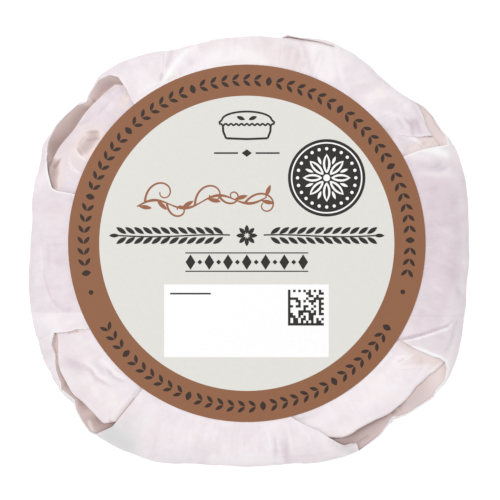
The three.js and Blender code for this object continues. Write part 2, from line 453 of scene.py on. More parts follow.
PANEL_RIDGES = [
    # Small folds beside the west flap.
    *chain([(-43.7, 25), (-43.2, 23.3), (-41.3, 22.5)], 0.24, 0.25),
    *chain([(-45.6, 22.6), (-44.7, 20.3), (-42.8, 19.2)], 0.22, 0.25), (-47.6, 23, -48.8, 20.9, -0.9, 0.35),
    (-46.5, 29.5, -33, 41.5, 0.12, 1.6), (-44, 28, -31, 39.5, 0.12, 1.2),
    # Fingers beside the label at the south-west.
    *chain([(-41.4, -28), (-39, -29.9), (-37.4, -32), (-35, -33)], [0.3, 0.5, 0.4], [0.4, 0.45, 0.4]),
    *chain(
        [(-36.9, -27.6), (-34.6, -30.2), (-32.9, -31.9), (-31.2, -32.2)],
        [0.45, 0.45, 0.3], [0.45, 0.4, 0.35],
    ),
    *chain([(-40.2, -29.8), (-38.4, -32.2), (-35.6, -33.8)], -0.4, 0.4),
    *chain([(-35.9, -29.6), (-34.2, -31.8), (-31.8, -32.8)], [-0.35, -0.3], 0.35),
    (-38.9, -28.4, -36.6, -30.6, -0.18, 0.5), (-46, -27.5, -41, -29.5, -0.2, 1.4),
    (-40.5, -31, -38.5, -36, 0.16, 1),
    # Crumples beside the east flap, at its lower and its upper end.
    (36.2, -28.4, 39.6, -26.6, 0.5, 0.4), (37.4, -29, 40.4, -27, 0.45, 0.3),
    (36.8, -28.2, 39.4, -27.2, -0.45, 0.3),
    *chain([(37.7, -29.4), (44.5, -28.9), (47.4, -29.1)], 0.34, 0.4), (44.3, -29.3, 42.2, -32.5, 0.24, 0.4),
    (45.8, -29.6, 44, -32.5, 0.2, 0.4), (27, -40.5, 33, -36.5, 0.12, 1.2),
    (40.3, 28.1, 43.9, 26.5, 0.42, 0.5),
]

# Hollows, as (x, y), radius and depth.
SHEET_HOLLOWS = [
    (41.3, 30.6, 1.6, 0.4), (45.2, 29.2, 1.9, 0.5), (-33.5, -47.5, 4.5, 0.6), (-22.3, 42.6, 0.8, 0.4),
    (35.5, 28.8, 1.3, 0.3),
]
PANEL_HOLLOWS = [
    (-40.4, 26.3, 2.8, 0.8), (-38.8, 28.9, 1.6, 0.5), (-31.3, 37.7, 1.3, 0.6), (-46, 21, 1.5, 0.3),
    (44, -27, 2.2, 0.7), (40.5, 25.4, 1.9, 0.6),
]

# How light the paper is painted round the pack, from 0 to 1, as (angle, lightness): the sheet, and the panels.
# This is partly the paper's own uneven tint and partly painted light and shade, such as the sheet's darker
# east side.
SHEET_TONES = [
    (0, 0.18), (18, 0.18), (29, 0.45), (33, 0.62), (48, 0.64), (62, 0.64), (66, 0.78), (72, 0.9),
    (84, 0.92), (104, 0.86), (113, 0.8), (127, 0.8), (140, 0.62), (156, 0.56), (166, 0.46), (194, 0.48),
    (206, 0.48), (208, 0.76), (230, 0.7), (240, 0.82), (270, 0.78), (298, 0.82), (312, 0.66), (326, 0.6),
    (333, 0.58), (336, 0.42), (342, 0.28),
]
PANEL_TONES = [
    (10, 0.45), (50, 0.45), (130, 0.36), (150, 0.26), (161, 0.42), (204, 0.72), (218, 0.72), (226, 0.66),
    (295, 0.88), (315, 1), (330, 0.8),
]
# Painted light and shade on the walls by angle, lightest on the east side.
WALL_PAINTED_LIGHT = [(0, 0.4), (30, 0.2), (60, 0), (180, -0.05), (300, 0), (330, 0.25)]  # added below the top
WEST_BAND = (-15.7, 190, 206, 0.3)  # the west flap is lighter below this y, between two angles, by so much

# Marks painted on the paper: lines as above, each with its width and how much lighter or darker the paper is
# painted there. Some are the paper's own patches; many are painted shade in grooves, beside flap edges and at
# the feet of folds, and painted light along ridges and fold edges.
SHEET_MARKS = [
    (-1.5, 48.5, 3.2, 47, 1.6, 0.25), (9, 51, 9.6, 47, 1, -0.15), (12.8, 50.8, 13.5, 47.4, 0.35, 0.35),
    (11.6, 51, 12.6, 46, 0.7, -0.14), (15.5, 51, 16.5, 45, 1, 0.15), (18.6, 50.5, 19.6, 43.5, 1.4, 0.22),
    (22, 50.8, 22.8, 45.8, 0.4, 0.35), *chain(BAND, [0.5, 0.6, 0.6, 0.6], [0.4, 0.6, 0.6, 0.5]),
    (-14.2, 47.6, -17, 44.4, 1, -0.22), (-19.6, 49.8, -20.8, 46.4, 0.7, -0.4),
    (-22.1, 44, -22.4, 42.6, 0.35, -0.8), (-23.5, 49, -23, 43, 1.6, -0.1), (-53.5, 4, -53.2, -8, 1, 0.16),
    *chain([(-52.3, -6), (-50.4, -12.6), (-47.6, -15.3)], 0.3, 0.12), (-54, 15, -52, 18.5, 1.6, 0.25),
    (8, -48.5, 9.5, -53, 1.5, -0.4), (5.8, -50.5, 6.2, -53, 1.2, -0.25), (20, -49.5, 24, -51, 1.2, 0.2),
    (46.5, 20.6, 48.6, 21.6, 1.2, -0.14), (42.5, 19.4, 52.5, 18.4, 0.9, 0.14),
    (40.2, -21.75, 47, -19.75, 0.25, -0.4), (38.2, -22.3, 41, -21.4, 0.45, -0.35),
    *chain([(41.5, -22.2), (49.2, -19.8), (50.6, -18.6)], 0.25, [0.4, 0.3]),
    (52.2, -10.2, 52.4, -10.8, 1, -0.28), (54, 21.5, 52, 25, 1.5, 0.35), (37.5, 34.5, 40, 36, 1.8, -0.16),
    (30, 38, 33, 39, 1.6, 0.2), (41.4, 31.8, 41.8, 29.8, 1.2, -0.58), (24, 47.5, 27.5, 45.5, 2.6, 0.28),
    *chain([(0.5, 47.2), (-9.5, 46.2), (-27, 38.8)], 2, 0.3), (-9, -52.8, 8, -52.9, 1.6, 0.32),
    (5.4, -52.5, 5.2, -49.8, 1.2, 0.3), (49.5, -19, 52, -10, 1.6, 0.28),
    (48.6, 21.8, 49.4, 19.8, 1.4, 0.35), (39.6, 35.6, 35.6, 39.3, 1.3, 0.32),
    (41.1, 23.6, 44.5, 22.8, 1.2, 0.35), (-48.4, -21.3, -50, -17.5, 1.4, 0.35),
    (16.5, 51.8, 18.5, 51.2, 1, 0.3), (4.5, 50.5, 14, 47.5, 3, -0.22), (41.8, 35, 42.4, 33.8, 1, -0.28),
]
PANEL_MARKS = [
    (-46.2, 18.4, -45.6, 17.7, 1, 0.2), (-48.2, 19.2, -48.6, 16.8, 1.2, -0.35),
    (-41.1, 23.7, -43.6, 25.3, 1.2, -0.3), (-41, 29, -38.8, 29.2, 0.4, -0.4),
    (-41.4, 30.3, -39.2, 30.8, 0.3, -0.45), (-42.6, 31.6, -40.4, 32.6, 0.3, -0.35),
    (-33.4, 42.4, -31.6, 41, 0.5, -0.6), (-31.8, 40.8, -30.9, 38.8, 0.6, -0.7),
    (-30.9, 38.4, -32.2, 36.4, 0.4, -0.7), (-35.4, 39.4, -33.6, 40.8, 0.3, -0.4),
    (-38, 34, -35.6, 37, 0.3, -0.3), (41.2, -26.8, 46.6, -28.4, 1.2, -0.5),
    (37.4, -28.4, 39.6, -27.2, 0.25, -0.7), (37.8, -30, 41.5, -29.6, 0.25, -0.35),
    (-46.8, 21.5, -44.5, 16.5, 1.8, 0.1), (-40.5, 34, -36.5, 38.5, 1.2, -0.2),
    (-45.5, 27, -36.5, 37.5, 0.9, 0.14), (-46, -28.4, -41, -30.6, 1.5, -0.28),
    (-37.5, -36, -34.5, -38, 2.4, 0.28), (-33.3, -41.6, -29.9, -37.4, 0.9, 0.6),
    (38.5, -29.1, 47.2, -28.9, 0.35, 0.25),
]

# In the same way, where the paper is painted more brown, nearly white and greyish. More brown is partly the
# paper's own tint with the pie's brown through it, and partly painted shade in hollows, gaps and beside flap
# edges; nearly white is a painted highlight along edges, lit folds and glossy streaks; greyish is painted
# shade on steep sides turned from the light.
SHEET_SHADES = [
    (4.5, 51.5, 10, 46.3, 3.2, 0.42), (38, -23.4, 40, -24.2, 0.9, 0.7),
]
PANEL_SHADES = [
    (-41.5, 25.4, -39.1, 28.5, 2.9, 1.55), (-41.2, 29.5, -38.2, 29.7, 0.35, 0.35),
    (-40.7, 27.5, -37.9, 27.9, 0.3, 0.25), (-43, 26.6, -41.8, 28.4, 0.4, 0.3),
    (-43.2, 25.4, -42.2, 23.8, 0.35, 0.35), (-34.7, 41.4, -32.9, 41.6, 0.9, 0.6),
    (-46.6, 24, -45.6, 23, 1.3, 0.45), (-44.8, 25.2, -44.6, 24, 0.9, 0.45),
    (-40.6, 33, -37.4, 37.4, 0.9, 0.18), (-32.1, 36.6, -30.9, 38.4, 1, 1.1),
    (-31.4, 41.2, -31, 39.4, 0.6, 0.8), (-49.7, 22.1, -49.3, 16.2, 2, 1.68),
    (-47.5, 21.4, -47.8, 19.7, 1.5, 0.45), (-47.4, 23, -48.9, 20.8, 0.32, 0.75),
    (39.2, 25, 42.6, 25.8, 1.2, 0.65), (43.9, 27, 48, 27.4, 1.8, 1.1),
    (41.4, -26.8, 47.4, -28.3, 1.3, 1.02), (45, -29.6, 46.8, -29.1, 0.6, 0.5),
    (38.6, -28.4, 43, -28.2, 0.5, 0.55), (37.3, -27.9, 39.2, -27, 0.25, 0.9),
    (37.4, -23.6, 40.6, -24.8, 1.3, 0.75), (-34.6, -44.2, -28.9, -37.1, 0.26, 1.7),
    (-35.1, -42.8, -34.3, -43.7, 0.5, 1.6), (-43.5, -26, -36.5, -36, 5, 0.14),
    (-45.6, -20.9, -43.3, -20.3, 0.35, 1.45), (25.6, -49.2, 29.7, -46.7, 1, 1.8),
    (-43, -20.6, -42, -20.9, 0.5, 0.8), (19.5, -45.6, 22, -46.6, 1, 0.35),
]
SHEET_SHINES = [
    *chain(BAND, [0.4, 0.5, 0.5, 0.5], [0.6, 1, 1, 0.8]), (-21.2, 50.6, -21.6, 44.1, 0.22, 0.6),
    (41.6, 36.2, 45.7, 29.3, 0.25, 0.7), (-52.5, 1, -52.2, -6, 0.18, 0.15),
    (41.5, -22.2, 49.2, -19.8, 0.15, 0.45), (40.2, -24.1, 37.6, -22.5, 1.3, -1),
    (22.1, 51, 22.8, 45.8, 0.2, 0.4), (43.5, 25.8, 49, 24, 1.4, 0.95), (-9, 49.5, -3, 49.5, 1.8, 0.25),
    (0, 48.5, 3.2, 47.2, 1.4, 0.35), (15.5, 51, 17, 44.5, 1.4, 0.3), (20, 50.5, 20.8, 44, 1.1, 0.4),
    *chain(
        [(40.8, -24.2), (44, -25.4), (47.7, -26.9), (49.1, -27.9), (49.7, -29.5), (49.2, -32.2)],
        [0.36, 0.4, 0.44, 0.46, 0.46], 1,
    ),
    (49.1, -32.8, 46.6, -35, 0.5, 0.9), (46.3, -35.3, 45.9, -37, 0.6, 0.8),
]
PANEL_SHINES = [
    *chain([(-43.7, 25.2), (-43, 23.7), (-41.2, 22.6)], 0.15, [0.6, 0.8]),
    *chain(
        [(-45.3, 23.2), (-45, 21.4), (-43.5, 19.7), (-42.6, 19.4)],
        [0.14, 0.14, 0.15], [0.25, 0.4, 0.4],
    ),
    (-40.5, -43.2, -39.5, -45.8, 0.45, 0.45),
    *chain([(37.2, -28.6), (39, -27.3), (40.5, -26.3)], 0.22, 0.8), (36.7, -26.8, 39, -26.5, 0.18, 0.6),
    *chain([(45.3, -30.6), (47, -28.9), (48.3, -28.1)], [0.25, 0.2], [0.6, 0.5]),
    *chain([(38.5, 28.5), (41, 28.2), (43.7, 25.7)], [0.22, 0.25], [0.35, 0.45]),
]
# Greyish paint as shade on steep sides turned from the light.
SHEET_SHADE_GREYS = [
    (-35, -46.5, -30.5, -48.8, 2.6, 1), (-36.5, -44, -29, -43, 2.8, 0.3), (21, -48.5, 26, -50.8, 1.2, 0.6),
    (-50.5, -20, -52.5, -26, 2.5, 0.35),
]

# How strongly light and shade are painted along the creases.
CREASE_CONTRAST = 1.8


def line_distances(points, x1, y1, x2, y2):
    """How far points are to the right of a line, from its nearest point, and along it from 0 to 1."""
    length = math.hypot(x2 - x1, y2 - y1)
    ux, uy = (x2 - x1) / length, (y2 - y1) / length
    x, y = points[..., 0] - x1, points[..., 1] - y1
    on_line = x * ux + y * uy
    right = x * uy - y * ux
    beyond = np.maximum(np.maximum(-on_line, on_line - length), 0)
    return right, np.hypot(right, beyond), np.clip(on_line / length, 0, 1)


def swell(share, least):
    """1 halfway along a line, and least at its ends."""
    return least + (1 - least) * np.sin(math.pi * share)


def crease_relief(points, ridges, steps_down, hollows):
    """How far the paper stands out. A crease dies away with the distance from its line."""
    relief = np.zeros(points.shape[:-1])
    for *line, height, width in ridges:
        _, away, share = line_distances(points, *line)
        relief += height * np.exp(-away / width) * swell(share, 0.35)
    for *line, height, width in steps_down:
        right, away, _ = line_distances(points, *line)
        beyond = away - np.abs(right)
        relief += height * np.exp(-away / width) * smooth(-0.45, 0.05, right) * np.exp(-beyond / 0.8)
    for x, y, radius, depth in hollows:
        relief -= depth * bell(np.hypot(points[..., 0] - x, points[..., 1] - y) / radius)
    return relief


def crease_shade(points, ridges, steps_down):
    """How much lighter the paper is painted along a ridge, and darker in a groove and at the foot of a step:
    painted light and painted shade.
    """
    shade = np.zeros(points.shape[:-1])
    for *line, height, width in ridges:
        _, away, share = line_distances(points, *line)
        shade += height * bell(away / (0.3 + 0.5 * width)) * swell(share, 0.4)
    for *line, height, _ in steps_down:
        right, away, _ = line_distances(points, *line)
        beyond = away - np.abs(right)
        lines = 0.6 * bell((right - 0.25) / 0.2) - bell((right + 0.28) / 0.25)
        shade += height * lines * np.exp(-beyond / 0.6)
    return CREASE_CONTRAST * shade


def marked(points, marks):
    """The sum of marks at each point."""
    return sum(amount * bell(line_distances(points, *line)[1] / width) for *line, width, amount in marks)


def streak_marks(first, last, count, seed):
    """Thin light and dark marks that run from the label out over the rim, between two angles."""
    chance = np.random.default_rng(seed)
    marks = []
    for i in range(count):
        turn = math.radians(lerp(first, last, (i + chance.random()) / count))
        inner, outer = chance.uniform(44, 49), chance.uniform(50, 53)
        x, y = math.cos(turn), math.sin(turn)
        width = chance.uniform(0.16, 0.4)
        marks.append((inner * x, inner * y, outer * x, outer * y, width, chance.uniform(-0.3, 0.3)))
    return marks


# ---- The sheet's own relief.

GUSSET_FOOT = 3  # height at which the folded triangles below the tucked corners start
GUSSET_HEIGHT = 0.35  # how far they and the fold down their middle stand proud of the wall beside them
GUSSET_SPREAD = 2  # degrees that they reach beyond their corner at the top
GUSSET_POINT = 0.08  # width at their foot, as a share of that at the top
PLEAT_HEIGHT = 0.38  # of the upright pleats between them
PLEAT_STRETCH = 0.12  # how much finer these are round the pack than up it
MOST_DENT = 0.5

# How much the free edges curl and shine, by angle: most at the east flap's ends and the top of the west flap.
EDGE_SHINE = [
    (30.6, 1), (31.8, 0.25), (125, 0.2), (153, 0.25), (155.5, 0.9), (165, 0.9), (190, 0.3), (215, 0.3),
    (217, 0.7), (221, 0.7), (228, 0.35), (230.6, 0.06), (260, 0.06), (282, 0.15), (297, 0.15), (300, 0.4),
    (311, 0.6), (320, 0.7), (324, 1),
]
EDGE_CURL = (0.1, 0.2)  # least height of the curl, and what the shine adds

# How far they stand off the panels beside them, by angle, as a share of the most.
EDGE_LIFT = [
    (31, 1), (32, 0.1), (42, 0.1), (60, 1), (190, 1), (203, 0.2), (206, 0.2), (218, 1), (227, 0.3),
    (236, 0.3), (244, 1), (322, 1), (326, 0.4), (338, 0.4), (348, 1),
]
MOST_LIFT = 0.35

# A second thickness of paper stands a little off the wall under the north flap.
PLY_FIRST, PLY_LAST = 66.0, 82.3
PLY_ROWS = 26
PLY_DROP = 22  # rows of the sheet that it goes down
PLY_RECESS = 0.45  # the wall is pressed in beneath it
PLY_SUNK = 0.35  # its ends are sunk into the wall by this
PLY_RISE = 0.45  # and it comes out of it by this between them, over a seventh of its length
PLY_GAP = (0.15, 0.75)  # what its upper edge stands off besides, at its first and last end
PLY_TOPS = [(0, -1), (0.1, 4), (0.2, 5.5), (0.43, 4.4), (0.62, 3.3), (0.79, 2.4), (1, -3)]  # in rows


def gusset_relief(angle, height):
    """The folded triangles of paper that widen up the wall, from a point near the base to a tucked corner."""
    relief = 0 * angle
    rise = np.clip((height - GUSSET_FOOT) / (BEND_FOOT - GUSSET_FOOT), 0, 1)
    for corner in CORNERS.values():
        start, end = corner["lip"][0][0] - GUSSET_SPREAD, corner["lip"][-1][0] + GUSSET_SPREAD
        away = past(angle, (start + end) / 2)
        inside = (end - start) / 2 * lerp(GUSSET_POINT, 1, rise) - np.abs(away)
        fold = np.exp(-np.abs(away + 3 * rise) / 0.5) * smooth(0, 4, inside)
        relief += rise**0.5 * GUSSET_HEIGHT * (smooth(-0.15, 0.45, inside) + fold)
    return relief


def free_edge_distance(points, present):
    """How far each point of the sheet is from a free edge, in mm."""
    faces = np.pad(present, ((0, 0), (1, 1)))
    before = np.roll(faces, 1, axis=0)
    beside = faces != before
    edge = (faces[:, 1:] != faces[:, :-1]) | (before[:, 1:] != before[:, :-1])
    edge |= beside[:, 1:] | beside[:, :-1]
    edge[:, [0, -1]] = False
    tree = kdtree.KDTree(int(edge.sum()))
    for i, point in enumerate(points[edge]):
        tree.insert(point, i)
    tree.balance()
    return np.array([tree.find(point)[2] for point in points.reshape(-1, 3)]).reshape(edge.shape)


def label_distance(points):
    """How far outside the label each point is, seen from above."""
    return np.hypot(points[..., 0] - LABEL_CENTRE.x, points[..., 1] - LABEL_CENTRE.y) - LABEL_RADIUS


def shape_sheet():
    """The creased sheet's points, which faces are there, and how far each point is from a free edge."""
    points, present = sheet_grid()
    normals = grid_normals(points)
    normals[:, LIP_ROW] = normals[:, LIP_ROW - 1]
    normals[:, TAB_ROW] = normals[:, TAB_ROW + 1]
    edge_away = free_edge_distance(points, present)
    angle, height = angle_of(points), points[..., 2]

    # Crumples, weaker on the east flap, and upright pleats on the wall.
    relief = 0.2 * waves(points, 17, 14, seed=1) + 0.06 * waves(points, 6, 18, seed=2)
    relief += 0.16 * waves(points, 13, 9, seed=3, sharp=True) * (1 + waves(points, 30, 6, seed=4))
    relief += 0.045 * waves(points, 5, 9, seed=5, sharp=True)
    relief *= 1 - 0.5 * within(angle, -32, 22, 10) * smooth(38, 46, height)
    pleats = waves(points * (1, 1, PLEAT_STRETCH), 12, 8, seed=9, sharp=True)
    relief += PLEAT_HEIGHT * pleats * smooth(50, 42, height)
    relief += smooth(40, 47, height) * crease_relief(points, SHEET_RIDGES, SHEET_STEPS, SHEET_HOLLOWS)
    relief += gusset_relief(angle, height) * smooth(53, 49, height)
    up_wall = smooth(1, 9, height)
    relief = np.maximum(relief * up_wall, -MOST_DENT)
    relief -= PLY_RECESS * within(angle, PLY_FIRST, PLY_LAST, 5) * smooth(56, 53, height) * up_wall
    shaped = points + normals * relief[..., None]

    # A flap's free edge lifts a little off the panel beside it, most of all near the rim, and curls up.
    lift = MOST_LIFT * by_angle(points, EDGE_LIFT) * bell(edge_away / 4)
    least, more = EDGE_CURL
    lift += (least + more * by_angle(points, EDGE_SHINE)) * np.maximum(1 - edge_away / 1.1, 0) ** 2
    loose = smooth(0, 4, label_distance(points)) * smooth(BEND_FOOT, BEND_FOOT + 2, height)
    shaped[..., 2] += loose * lift

    # Under the label everything is pressed flat.
    pressed = smooth(1.2, 0.2, label_distance(points))
    shaped[..., 2] = lerp(shaped[..., 2], np.minimum(shaped[..., 2], WRAP_HEIGHT), pressed)
    shaped[..., 2] = np.maximum(shaped[..., 2], 0)
    return shaped, present, edge_away


def shape_ply(sheet):
    """Points of the second thickness, which lies on the wall at its lower edge and its ends."""
    outwards = grid_normals(sheet)
    angles = angle_of(sheet[:, LIP_ROW]) % 360
    points = []
    for column in np.flatnonzero((angles > PLY_FIRST) & (angles < PLY_LAST)):
        share = (angles[column] - PLY_FIRST) / (PLY_LAST - PLY_FIRST)
        ends = min(1, 7 * share, 7 * (1 - share))
        for up in np.linspace(0, 1, PLY_ROWS):
            place = LIP_ROW + lerp(-PLY_DROP, along(PLY_TOPS, share), up)
            low = int(place)
            point = lerp(sheet[column, low], sheet[column, low + 1], place - low)
            off = (PLY_RISE + lerp(*PLY_GAP, share) * up**6) * ends - PLY_SUNK
            points.append(point + outwards[column, low] * off)
    return np.array(points).reshape(-1, PLY_ROWS, 3)


# ---- The paper inside: the panels on the pie's top, and the pockets between their rims and the wall.

PANEL_DROP = 0.3  # below the flaps
PANEL_BEND = 1.0  # radius of the bend at a panel's rim
LEAST_DEPTH = PANEL_DROP + PANEL_BEND + 0.2  # of a pocket
FLAP_CLEARANCE = 0.5  # kept under a flap's edge
HIDDEN_CLEARANCE = 1.0  # and farther under it
HIDDEN_INSET = 2.5  # of its rim from the pie's own rim, under a flap
WALL_CLEARANCE = 0.22  # kept inside the wall at its free edge
LOW_CLEARANCE = 0.5  # and added to that below it
CORE_BOTTOM = 3.0
CORE_UNDER_FLAPS = 49.0  # height at which it turns in where no pocket is
CORE_FINE_STEP = 0.26  # degrees between columns at the tucked corners
CORE_STEP = 1.2  # and elsewhere
SIDE_ROWS = 18
POCKET_ROWS = 10
HANG_ROWS = 2  # of the straight part below a panel's bend
FOLD_ROWS = 8
PANEL_ROWS = 38
CORE_ROWS = SIDE_ROWS + POCKET_ROWS + HANG_ROWS + FOLD_ROWS + PANEL_ROWS


def corner_ends(corner):
    """The angles between which a tucked corner is open."""
    return min(corner["lip"][0][0], corner["rim"][0][0]), max(corner["lip"][-1][0], corner["rim"][-1][0])


def core_angles():
    """The angles of the inner paper's columns, close together at the tucked corners."""
    angles, last = [], 0
    for corner in CORNERS.values():
        start, end = corner_ends(corner)
        angles += [np.arange(last, start - 4, CORE_STEP), np.arange(start - 4, end + 4, CORE_FINE_STEP)]
        last = end + 4
    return np.concatenate([*angles, np.arange(last, 360, CORE_STEP)])


def wall_profiles(sheet, angle):
    """The shaped wall's heights and radii at other angles, a row for each of its own."""
    heights, radii = [], []
    for row in range(WALL_START, LIP_ROW + 1):
        turn, radius = angle_of(sheet[:, row]), np.hypot(sheet[:, row, 0], sheet[:, row, 1])
        heights.append(np.interp(angle, turn, sheet[:, row, 2], period=360))
        radii.append(np.interp(angle, turn, radius, period=360))
    return np.array(heights), np.array(radii)


def panel_rim(angle):
    """The radius at which the inner paper turns down."""
    radius = rim_radius(angle) - HIDDEN_INSET
    for corner in CORNERS.values():
        rim = corner["rim"]
        radius = lerp(radius, along(rim, angle), within(angle, rim[0][0], rim[-1][0], 3))
    return radius


def pocket_depth(angle, gap):
    """How deep a pocket is at the panel's rim: less where it is narrow or a fold crosses it."""
    most = np.full(angle.shape, LEAST_DEPTH)
    for corner in CORNERS.values():
        folded = 1 - 0.4 * bell(angle - corner["fold"] - corner["skew"] / 2)
        most = lerp(most, corner["depth"] * folded, within(angle, *corner["deepest"], 7))
    return np.clip(1.6 + 1.2 * gap, LEAST_DEPTH, np.maximum(most, LEAST_DEPTH))


def open_distance(angle, radius):
    """How far, in mm, points of the panels are from the nearest flap's edge. It is negative under a flap."""
    away = -np.inf
    for i, (name, start) in enumerate(PARTS[:-1]):
        if name in CORNERS:
            edges = (start, TAB_EDGE if name == "north_east" else PARTS[i + 1][1])
            first, last = (edge_angle(edge, inwards(edge[0][0], radius)) for edge in edges)
            away = np.maximum(away, np.minimum(angle - first, last - angle) * np.radians(radius))
    return away


def pocket_shares(angle):
    """1 at a tucked corner and 0 away from it, a row for each corner."""
    ends = [corner_ends(corner) for corner in CORNERS.values()]
    return np.array([within(angle, start - 2, end + 2, 3) for start, end in ends])


def core_sections(sheet, angle):
    """Radii and heights of the inner paper's columns before its creases, from the wall's foot to the label."""
    wall_heights, wall_radii = wall_profiles(sheet, angle)
    pocket = pocket_shares(angle).max(axis=0)
    radii, heights = [], []

    # Up the wall's inner face.
    end = lerp(CORE_UNDER_FLAPS, wall_heights[-1] - 0.1, pocket)
    for share in np.linspace(0, 1, SIDE_ROWS):
        height = lerp(CORE_BOTTOM, end, share)
        inner = [np.interp(h, wall_heights[:, i], wall_radii[:, i]) for i, h in enumerate(height)]
        radii.append(np.array(inner) - WALL_CLEARANCE - LOW_CLEARANCE * (1 - pocket * share))
        heights.append(height)

    # Down into the pocket, and up again at the panel's rim.
    outer = radii[-1]
    rim = np.minimum(panel_rim(angle), outer - 0.3)
    edge = flap_height(angle, rim - PANEL_BEND) - PANEL_DROP
    floor = np.minimum(WRAP_HEIGHT - pocket_depth(angle, outer - rim), edge - PANEL_BEND - 0.2)
    foot = lerp(end, floor, pocket)
    for share in steps(0, 1, POCKET_ROWS):
        radii.append(lerp(outer, rim, share))
        heights.append(lerp(foot, end, (1 - share) ** 1.5))
    for share in steps(0, 1, HANG_ROWS):
        radii.append(rim)
        heights.append(lerp(foot, edge - PANEL_BEND, share))
    for turn in steps(0, math.pi / 2, FOLD_ROWS):
        radii.append(rim - PANEL_BEND * (1 - math.cos(turn)))
        heights.append(edge - PANEL_BEND * (1 - math.sin(turn)))
    for share in steps(0, 1, PANEL_ROWS):
        radii.append(lerp(rim - PANEL_BEND, FLAP_END_RADIUS - 0.5, share))
        heights.append(flap_height(angle, radii[-1]) - PANEL_DROP)
    return np.array(radii).T, np.array(heights).T


def pocket_shade(angle):
    """How tan the inner paper is painted, up to 1, and past that how brown: painted shade, most of all at the
    pockets' feet, with the pie's brown through the paper.
    """
    across = np.concatenate([np.zeros(SIDE_ROWS), np.linspace(0, 1, POCKET_ROWS), [1, 1, 1]])
    weight = [*np.zeros(SIDE_ROWS - 3), 0.5, 0.6, 0.65, *np.linspace(0.6, 1, POCKET_ROWS), 1, 0.8, 0.4]
    brown = sum(
        inside[:, None] * along(corner["brown"], angle[:, None] - corner["skew"] * across)
        for corner, inside in zip(CORNERS.values(), pocket_shares(angle))
    )
    deep = np.zeros((len(angle), CORE_ROWS))
    deep[:, : len(across)] = 1 + brown * weight
    deep[:, len(across) : len(across) + 3] = [0.9, 0.6, 0.25]
    return deep


def shape_core(sheet):
    """The inner paper's points, and how tan or brown each one is painted: painted shade, with the pie's brown
    through the paper.
    """
    angle = core_angles()
    radii, heights = core_sections(sheet, angle)

    # The panels dip at a flap's edge and stay under the flap.
    first = SIDE_ROWS + POCKET_ROWS
    away = open_distance(angle[:, None], radii)
    clear = smooth(-0.2, 1.8, away)
    clearance = lerp(HIDDEN_CLEARANCE, FLAP_CLEARANCE, smooth(-2.5, -0.5, away))
    under = np.minimum(heights, flap_height(angle[:, None], radii) - clearance)
    heights[:, first:] = lerp(under, heights, clear)[:, first:]

    # Crumples, none up the wall and more and more from there into the pockets.
    points = polar(angle[:, None], radii, heights)
    relief = 0.22 * waves(points, 15, 14, seed=11) + 0.07 * waves(points, 5, 18, seed=12)
    relief += 0.18 * waves(points, 11, 9, seed=13, sharp=True)
    relief += 0.05 * waves(points, 4.5, 9, seed=14, sharp=True)
    relief += crease_relief(points, PANEL_RIDGES, [], PANEL_HOLLOWS)
    weight = np.full(radii.shape, 0.8)
    weight[:, :SIDE_ROWS] = 0
    weight[:, SIDE_ROWS:first] = np.linspace(0, 0.8, POCKET_ROWS)
    relief = np.clip(relief, -1, 0.9) * weight * lerp(0.15, 1, clear)
    shaped = points + grid_normals(points) * relief[..., None]
    pressed = smooth(2.4, 0.2, label_distance(points)) * clear
    shaped[..., 2] = lerp(shaped[..., 2], WRAP_HEIGHT - 0.05, pressed)
    return shaped, pocket_shade(angle)


# ---- The label's print: plain shapes in mm from the label's middle, later ones on top of earlier ones.

PAPER, RING, RING_INK, INK, WHITE, COPPER = range(6)
LABEL_COLOURS = {
    "label_paper": (0.75, 0.741, 0.704),
    "label_ring": (0.28, 0.117, 0.053),
    "label_ring_ink": (0.034, 0.017, 0.011),
    "label_ink": (0.017, 0.014, 0.012),
    "label_white": (0.97, 0.97, 0.97),
    "label_copper": (0.33, 0.125, 0.06),
}
LABEL_LIFT = 0.08  # of the label's lower face above the flattened paper
LABEL_THICKNESS = 0.2

RING_INNER = 36.95
BORDER_RADIUS = 40.9
BORDER_PITCH = 2.75
MEDALLION = (20.0, 16.4)
MEDALLION_RADIUS = 9.7
PANEL_LOW, PANEL_HIGH = (-20.7, -28.5), (20.5, -10.3)
CODE_LOW, CODE_SIZE, CODE_MODULES = (10.3, -20.6), 9.0, 14


def spot(radius, angle, centre=(0, 0)):
    """The point at a radius and an angle from a centre."""
    turn = math.radians(angle)
    return centre[0] + radius * math.cos(turn), centre[1] + radius * math.sin(turn)


def disc(centre, radius, sides):
    return [spot(radius, 360 * i / sides, centre) for i in range(sides)]


def box_shape(low, high):
    return [low, (high[0], low[1]), high, (low[0], high[1])]


def leaf(centre, length, width, turn, sides=7):
    """A leaf or a grain: two arcs that meet in a point at both ends. With three sides it is a lozenge."""
    shares = np.linspace(-1, 1, sides)[:-1]
    arc = [(share * length / 2, width / 2 * math.cos(share * math.pi / 2) ** 0.8) for share in shares]
    cos, sin = math.cos(math.radians(turn)), math.sin(math.radians(turn))
    outline = [(-x, -y) for x, y in arc] + arc
    return [(centre[0] + x * cos - y * sin, centre[1] + x * sin + y * cos) for x, y in outline]


def stroke(points, widths):
    """A line of a width, or of one width for each point, as a row of four-sided shapes."""
    points = np.array(points, float)
    heading = np.gradient(points, axis=0)
    heading /= np.linalg.norm(heading, axis=1, keepdims=True)
    aside = (np.stack([-heading[:, 1], heading[:, 0]]) * widths / 2).T
    left, right = (points + aside).tolist(), (points - aside).tolist()
    corners = zip(right, right[1:], left[1:], left)
    return [[tuple(corner) for corner in shape] for shape in corners]


def curl(start, heading, length, first_bend, last_bend, count=34):
    """Points of a tendril that leaves a point at a heading in degrees and bends more and more, in 1/mm."""
    step, turn, points = length / count, heading, [start]
    for i in range(count):
        turn += math.degrees(step * first_bend * (last_bend / first_bend) ** ((i + 0.5) / count))
        points.append(spot(step, turn, points[-1]))
    return points


